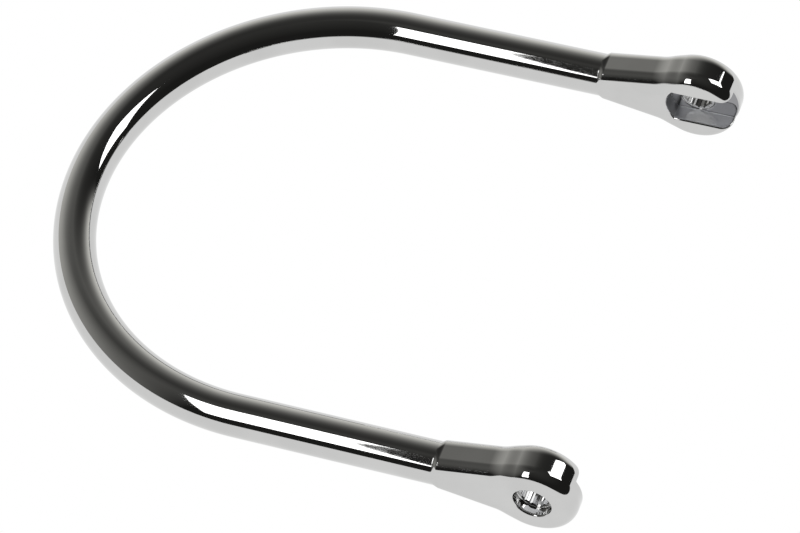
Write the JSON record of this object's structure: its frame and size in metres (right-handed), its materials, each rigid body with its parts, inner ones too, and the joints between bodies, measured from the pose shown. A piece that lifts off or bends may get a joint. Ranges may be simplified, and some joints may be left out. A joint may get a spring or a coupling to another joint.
{
  "type": "lifting bail",
  "caption": "U-shaped chromed lifting bail: bent round bar, flared necks and round eyes with a recessed serrated pivot hole and an inner slot open at the tip.",
  "frame": {"origin": "middle of the pivot axis, halfway between the two eyes", "axes": "+X from the bow towards the open ends, +Y along the pivot axis from the left eye to the right eye, +Z out of the bail's plane"},
  "size_m": [0.1443, 0.1264, 0.0202],
  "materials": {
    "chrome_bar": "mirror chrome plate on steel",
    "chrome_fitting": "mirror chrome plate on steel",
    "chrome_bush": "chrome plate, a little duller in the serrations"
  },
  "bodies": {
    "root": {"bow_rod": "chrome_bar", "left_end_fitting": "chrome_fitting", "right_end_fitting": "chrome_fitting", "left_serrated_bush": "chrome_bush", "right_serrated_bush": "chrome_bush"}
  },
  "joints": []
}
